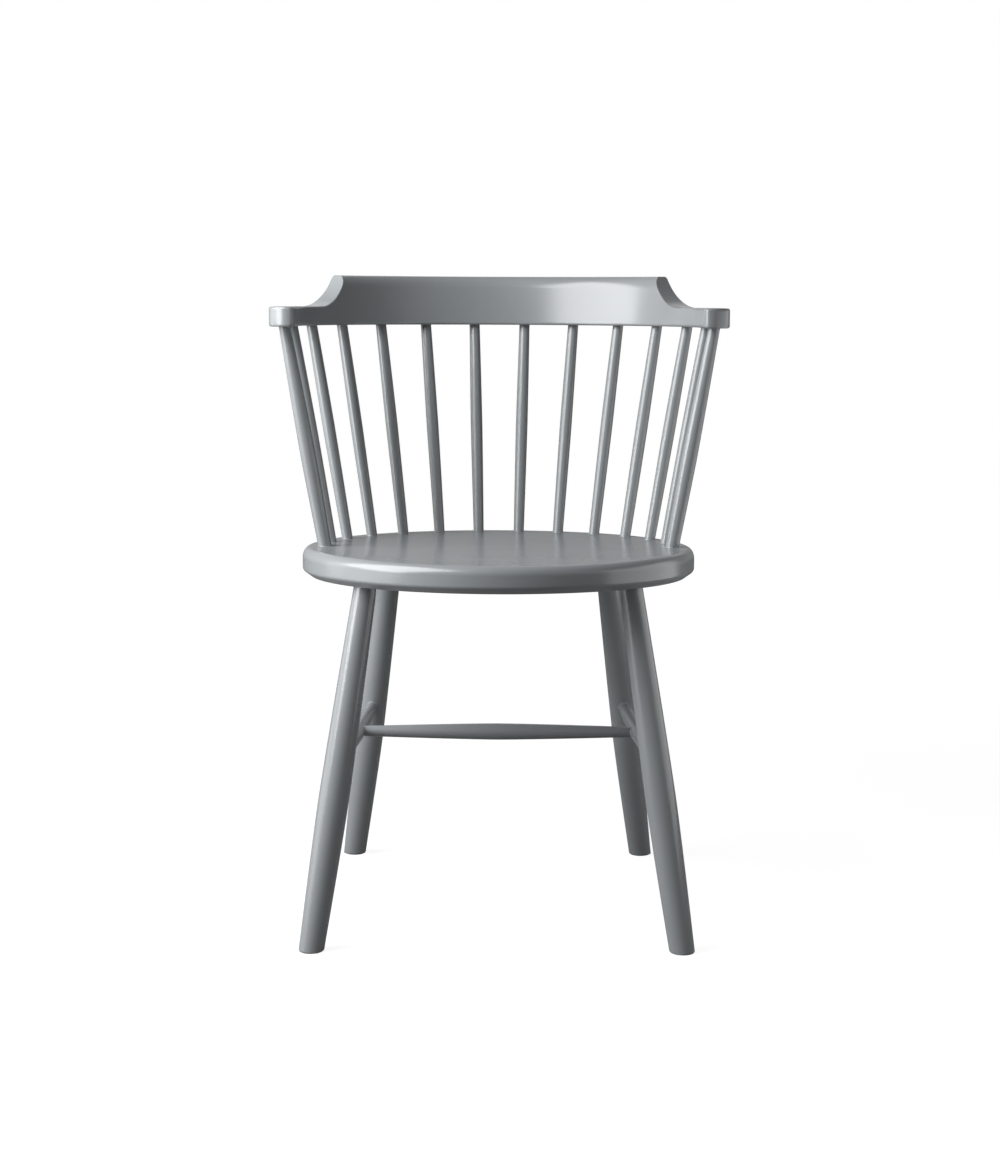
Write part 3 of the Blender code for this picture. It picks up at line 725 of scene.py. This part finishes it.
def bow_outline(along, height):
    """Section of the bow as (outward, up) pairs: its outer half from below to the top, then its inner."""
    sizes = settings().bow
    half, low = 0.5 * sizes.width, sizes.arm_edge
    to_arm = smooth_step(abs(along), sizes.crest_reach, arm_tip_start())
    edge = sizes.scoop_edge + (sizes.arm_edge - sizes.scoop_edge) * smooth_step(
        abs(along), sizes.crest_reach + ARM_EDGE_START * sizes.scoop_length, arm_tip_start())
    faces = ((1.0, sizes.outer_lean, sizes.outer_round), (-1.0, sizes.inner_lean, sizes.inner_round))
    outline = []
    for side, lean, large in faces:
        slope = math.tan(lean) * (1.0 - to_arm)
        corner = top_corner(sizes.crest_height, height, large, sizes.round_stretch * large, edge, steps=8)
        flank = [(0.0, 0.0), (0.5 * half, 0.0), (half - low - BESIDE, 0.0)]
        for i in range(EDGE_STEPS + 1):
            angle = QUARTER_TURN * i / EDGE_STEPS
            flank.append((half - low * (1.0 - math.sin(angle)), low * (1.0 - math.cos(angle))))
        high = corner[0][1]
        levels = [low + place * (high - low) for place in FLANK_PLACES]
        flank += [(half, level) for level in (low + BESIDE, *levels, high - BESIDE)]
        flank += [(half - inset, up) for inset, up in corner]
        outline.append([(side * (out - slope * up), up) for out, up in flank])
    outer, inner = outline
    start, end = outer[-1][0], inner[-1][0]
    top = [(start + (end - start) * place, height) for place in TOP_PLACES]
    return outer + top + inner[:0:-1]


class CHAIR_OT_bow(bpy.types.Operator):
    """Sweep the bow rail with its crest, scoops and arms in one painted piece"""

    bl_idname = "chair.bow"
    bl_label = "Bow rail"

    def execute(self, context):
        line = bow_top_line()
        stations = [(-along, height) for along, height in line[:0:-1]] + line
        work = bmesh.new()
        layer = work.verts.layers.float_vector.new("grain")
        loops = []
        for along, height in stations:
            point, outward = bow_place(along)
            ring = []
            for out, up in bow_outline(along, height):
                vert = work.verts.new(point + outward * out + UP * up)
                vert[layer] = (out, up, along)
                ring.append(vert)
            loops.append(ring)
        rings = [[work.edges.new(pair) for pair in zip(ring, ring[1:] + ring[:1])] for ring in loops]
        for one, other in zip(rings, rings[1:]):
            bmesh.ops.bridge_loops(work, edges=one + other)
        for ring in (loops[0], loops[-1]):
            self.round_tip(work, ring, layer)
        bmesh.ops.remove_doubles(work, verts=work.verts[:], dist=MERGE)
        bmesh.ops.recalc_face_normals(work, faces=work.faces[:])
        finish_piece("painted_bow", work, paint_material("grey_paint_on_bow", *BOW_GRAIN),
                     "rail_back", "rail_arm_left", "rail_arm_right")
        return {"FINISHED"}

    def round_tip(self, work, ring, layer):
        """Close an arm by spinning the outer half of its last section half a turn about the arm's middle.

        The tip's foremost point is then drawn inward and the arm's outer side tapers towards it, so that
        the outer curve is long and the inner one short.
        """
        middle = ring[0].co.copy()
        last = next(i for i, vert in enumerate(ring) if i and (vert.co - middle).xy.length < MERGE)
        half = ring[:last + 1]
        edges = [work.edges.get(pair) for pair in zip(half, half[1:])]
        side = math.copysign(1.0, middle.x)
        bmesh.ops.spin(work, geom=half + edges, cent=middle, axis=UP, angle=-side * math.pi, steps=32,
                       use_merge=False, use_duplicate=False)
        sizes = settings().bow
        radius = 0.5 * sizes.width
        for vert in work.verts:
            ahead, out = middle.y - vert.co.y, (vert.co.x - middle.x) * side
            if vert.co.x * side < 0.0 or ahead < -sizes.taper_length:
                continue
            inward = 0.0
            if ahead > MERGE:
                vert[layer] = (out, vert.co.z - middle.z, side * (arm_tip_start() + ahead))
                reach = math.hypot(ahead, out)
                sine, weight = abs(out) / reach, (reach / radius) ** 2
                inward += sizes.tip_inward * (1.0 - sine) * weight
                if out < 0.0:
                    blunt = 2.0 / sizes.tip_bluntness
                    inward += (radius - sizes.tip_inward) * (sine ** blunt - sine) * weight
                    vert.co.y -= radius * ((ahead / reach) ** blunt - ahead / reach) * weight
            if out > 0.0:
                run = (ahead + sizes.taper_length) / (radius + sizes.taper_length)
                inward += sizes.tip_taper * run ** 2 * out / radius
            vert.co.x -= side * inward


def leg_axis(end, side):
    """A leg's foot on the floor and its top on the seat's underside."""
    sizes, seat = settings().leg, settings().seat
    angle = sizes.front_angle if end == "front" else sizes.rear_angle
    reach = seat.radius - sizes.top_inset
    top = on_seat(sign_of(side) * reach * math.sin(angle), reach * math.cos(angle), seat.thickness)
    return Vector(MOUNTS[f"foot_{end}_{side}"]["pos_m"]), top


class CHAIR_OT_legs(bpy.types.Operator):
    """Turn the four splayed legs, cut their feet level and round the feet's edges"""

    bl_idname = "chair.legs"
    bl_label = "Legs"

    def execute(self, context):
        tree = surface_of("painted_seat")
        pairs = [(end, side) for end in ENDS for side in SIDES]
        for order, (end, side) in enumerate(pairs, FIRST_LEG):
            self.make(f"leg_{end}_{side}", *leg_axis(end, side), tree, order)
        return {"FINISHED"}

    def make(self, name, foot, top, tree, order):
        """Turn one leg between the floor and the seat."""
        sizes = settings().leg
        length = (top - foot).length
        lean = (top - foot).angle(UP)
        neck = 0.5 * sizes.top * math.tan(lean) + bead_room()
        below = sizes.foot  # the leg runs on below the floor until its foot is cut
        profile = [(-below, 0.5 * sizes.foot)]
        profile += swell_points(0.0, length * sizes.swell_height / top.z, length - neck,
                                (sizes.foot, sizes.swell, sizes.top), LEG_STEPS)
        profile += bead_points(length, 1.0, 0.5 * sizes.top, sizes.tenon)
        work = lathe(profile, sizes.sides)
        matrix = stand_matrix(foot, top - foot)
        press_end(work, matrix, length, 1.0, tree)
        bmesh.ops.transform(work, matrix=matrix, verts=work.verts[:])
        cut = bmesh.ops.bisect_plane(work, geom=work.verts[:] + work.edges[:] + work.faces[:], dist=MERGE,
                                     plane_co=(0.0, 0.0, 0.0), plane_no=-UP, clear_outer=True)
        rim = [edge for edge in cut["geom_cut"] if isinstance(edge, bmesh.types.BMEdge)]
        bmesh.ops.holes_fill(work, edges=rim, sides=0)
        bmesh.ops.bevel(work, geom=rim, offset=sizes.foot_round, segments=5, profile=0.5, affect="EDGES",
                        material=-1)
        bmesh.ops.recalc_face_normals(work, faces=work.faces[:])
        mark_grain(work, matrix, Vector((0.0, 0.0, GRAIN_STEP * order)))
        finish_piece("painted_" + name, work, turned_paint(), name)


def leg_point(end, side, height):
    """Point on a leg's axis at a height above the floor."""
    foot, top = leg_axis(end, side)
    return foot.lerp(top, height / top.z)


def stretcher_axis(side):
    """The two points on a side stretcher's axis where it leaves its legs."""
    height, inset = settings().stretcher.height, 0.5 * settings().leg.swell
    front, rear = leg_point("front", side, height), leg_point("rear", side, height)
    run = (rear - front).normalized()
    return front + inset * run, rear - inset * run


class CHAIR_OT_stretchers(bpy.types.Operator):
    """Turn the two side stretchers and the cross stretcher between their middles"""

    bl_idname = "chair.stretchers"
    bl_label = "Stretchers"

    def execute(self, context):
        sizes = settings().stretcher
        side_diameters = (sizes.side_end, sizes.side_swell, sizes.side_end)
        cross_diameters = (sizes.cross_end, sizes.cross_swell, sizes.cross_end)
        middles = []
        for order, side in enumerate(SIDES, FIRST_STRETCHER):
            trees = [surface_of(f"painted_leg_{end}_{side}") for end in ENDS]
            front, rear = stretcher_axis(side)
            turned_piece(f"stretcher_{side}", front, rear, side_diameters, MIDWAY,
                         (sizes.side_tenon, sizes.side_tenon), sizes.sides, trees, order)
            middles.append(0.5 * (front + rear))
        inset = Vector((0.5 * sizes.side_swell, 0.0, 0.0))
        trees = [surface_of(f"painted_stretcher_{side}") for side in SIDES]
        turned_piece("stretcher_cross", middles[0] + inset, middles[1] - inset, cross_diameters, MIDWAY,
                     (sizes.cross_tenon, sizes.cross_tenon), sizes.sides, trees, FIRST_STRETCHER + len(SIDES))
        return {"FINISHED"}


class CHAIR_OT_sticks(bpy.types.Operator):
    """Turn the back spindles and the two front posts between the seat and the bow rail"""

    bl_idname = "chair.sticks"
    bl_label = "Spindles and posts"

    def execute(self, context):
        sizes = settings().stick
        spindle = (sizes.spindle_base, sizes.spindle_swell, sizes.spindle_top)
        post = (sizes.post_base, sizes.post_swell, sizes.post_top)
        trees = (surface_of("painted_seat"), surface_of("painted_bow"))
        count = 2 * sizes.per_side
        reach = settings().seat.radius - sizes.inset
        for order in range(count + 2):
            place = order - 0.5 * (count + 1)
            angle = place * sizes.angle_step
            base = on_seat(reach * math.sin(angle), reach * math.cos(angle))
            head = bow_place(place * stick_pitch())[0]
            if 0 < order <= count:
                name, diameters, swell_place = f"spindle_{order:02d}", spindle, sizes.spindle_place
            else:
                side = SIDES[0] if order == 0 else SIDES[1]
                name, diameters, swell_place = f"post_{side}", post, sizes.post_place
            turned_piece(name, base, head, diameters, swell_place, (sizes.seat_tenon, sizes.rail_tenon),
                         sizes.sides, trees, order)
        return {"FINISHED"}


class CHAIR_OT_dowels(bpy.types.Operator):
    """Give the hidden dowels of the rail's joints their raw wood"""

    bl_idname = "chair.dowels"
    bl_label = "Dowels"

    def execute(self, context):
        wood = bare_wood()
        for name, dowel in frame["nodes"].items():
            if name.startswith("dowel_"):
                dowel.data.materials.clear()
                dowel.data.materials.append(wood)
        return {"FINISHED"}


def seen_strength(tree, seen, mirrored):
    """Glow of the studio: one strength where it is seen, also through glass, and one in reflections."""
    path = node(tree, "ShaderNodeLightPath")
    straight = math_node(tree, "ADD", path.outputs["Is Camera Ray"], path.outputs["Is Transmission Ray"])
    return math_node(tree, "ADD", math_node(tree, "MULTIPLY", straight, seen),
                     math_node(tree, "MULTIPLY", path.outputs["Is Glossy Ray"], mirrored))


def floor_material():
    """Plain pale floor that looks white and keeps a faint shadow."""
    look = settings().stage
    material, tree, surface = start_material("studio_floor")
    place = node(tree, "ShaderNodeTexCoord").outputs["Object"]
    away = node(tree, "ShaderNodeVectorMath", {0: place}, operation="LENGTH").outputs["Value"]
    glow = map_range(tree, away, (look.glow_start, look.glow_end), (look.floor_glow, 1.0), "SMOOTHSTEP")
    fill(tree, surface, {"Base Color": (*look.floor_colour, 1.0), "Roughness": 1.0, "Specular IOR Level": 0.0,
                         "Emission Color": WHITE,
                         "Emission Strength": seen_strength(tree, glow, look.floor_reflected)})
    return material


class CHAIR_OT_stage(bpy.types.Operator):
    """Lay the floor, hang the soft lamps and set the camera at the photograph's angle"""

    bl_idname = "chair.stage"
    bl_label = "Studio"

    def execute(self, context):
        look = settings().stage
        work = bmesh.new()
        bmesh.ops.create_circle(work, cap_ends=True, segments=96, radius=look.floor_radius)
        floor = new_object("studio_floor", new_mesh("studio_floor", work, floor_material()))
        for lamp in LAMPS:
            self.hang(*lamp)
        self.surround(look)
        camera = bpy.data.cameras.new("camera")
        camera.sensor_width = SENSOR_WIDTH
        camera.lens = look.lens
        holder = new_object("camera", camera)
        holder.matrix_world = (Matrix.Translation(look.camera_place) @ Matrix.Rotation(
            QUARTER_TURN - look.camera_tilt, 4, "X") @ Matrix.Rotation(look.camera_roll, 4, "Z"))
        context.scene.camera = holder
        context.scene.view_settings.view_transform = "Standard"
        return {"FINISHED"}

    def hang(self, name, azimuth, elevation, distance, side, other_side, watts):
        """Hang a soft lamp that faces the chair; azimuth 0 is in front of it and 90 at its right."""
        turned, raised = math.radians(azimuth), math.radians(elevation)
        away = Vector((math.sin(turned) * math.cos(raised), -math.cos(turned) * math.cos(raised),
                       math.sin(raised)))
        light = bpy.data.lights.new(name, "AREA")
        light.shape = "RECTANGLE"
        light.size, light.size_y = side, other_side
        light.energy = watts * settings().stage.light
        lamp = new_object(name, light)
        lamp.matrix_world = stand_matrix(LIT_POINT + distance * away, away)
        lamp.visible_camera = False

    def surround(self, look):
        """White round the studio as the camera sees it, and a weak even light from all round."""
        world = bpy.context.scene.world or bpy.data.worlds.new("studio")
        bpy.context.scene.world = world
        world.use_nodes = True
        tree = world.node_tree
        tree.nodes.clear()
        glow = seen_strength(tree, 1.0 - look.ambient, look.reflected - look.ambient)
        strength = math_node(tree, "ADD", glow, look.ambient)
        light = node(tree, "ShaderNodeBackground", {"Color": WHITE, "Strength": strength})
        node(tree, "ShaderNodeOutputWorld", {"Surface": light.outputs[0]})


class CHAIR_PT_parts(bpy.types.Panel):
    """The chair's pieces, in the order in which they are made"""

    bl_label = "Chair"
    bl_idname = "CHAIR_PT_parts"
    bl_space_type = "VIEW_3D"
    bl_region_type = "UI"
    bl_category = "Chair"

    def draw(self, context):
        """List the operators, and below them all values that can be changed."""
        for kind in OPERATORS:
            self.layout.operator(kind.bl_idname)
        for group in settings().bl_rna.properties:
            if group.type != "POINTER" or group.identifier == "rna_type":
                continue
            box = self.layout.box()
            box.label(text=group.name)
            values = getattr(settings(), group.identifier)
            for value in values.bl_rna.properties:
                if value.identifier not in ("rna_type", "name"):
                    box.prop(values, value.identifier)


OPERATORS = (CHAIR_OT_seat, CHAIR_OT_bow, CHAIR_OT_legs, CHAIR_OT_stretchers, CHAIR_OT_sticks,
             CHAIR_OT_dowels, CHAIR_OT_stage)
CLASSES = (SeatSizes, LegSizes, StretcherSizes, StickSizes, BowSizes, PaintLook, StageLook, ChairSettings,
           *OPERATORS, CHAIR_PT_parts)


def register():
    """Make the pieces' operators and settings known."""
    for each in CLASSES:
        bpy.utils.register_class(each)
    bpy.types.Scene.chair = PointerProperty(type=ChairSettings)


def unregister():
    """Take them away again."""
    del bpy.types.Scene.chair
    for each in reversed(CLASSES):
        bpy.utils.unregister_class(each)


def main():
    """Build all pieces and the studio in order."""
    register()
    for kind in OPERATORS:
        getattr(bpy.ops.chair, kind.bl_idname.split(".")[1])()


if __name__ == "__main__":
    main()
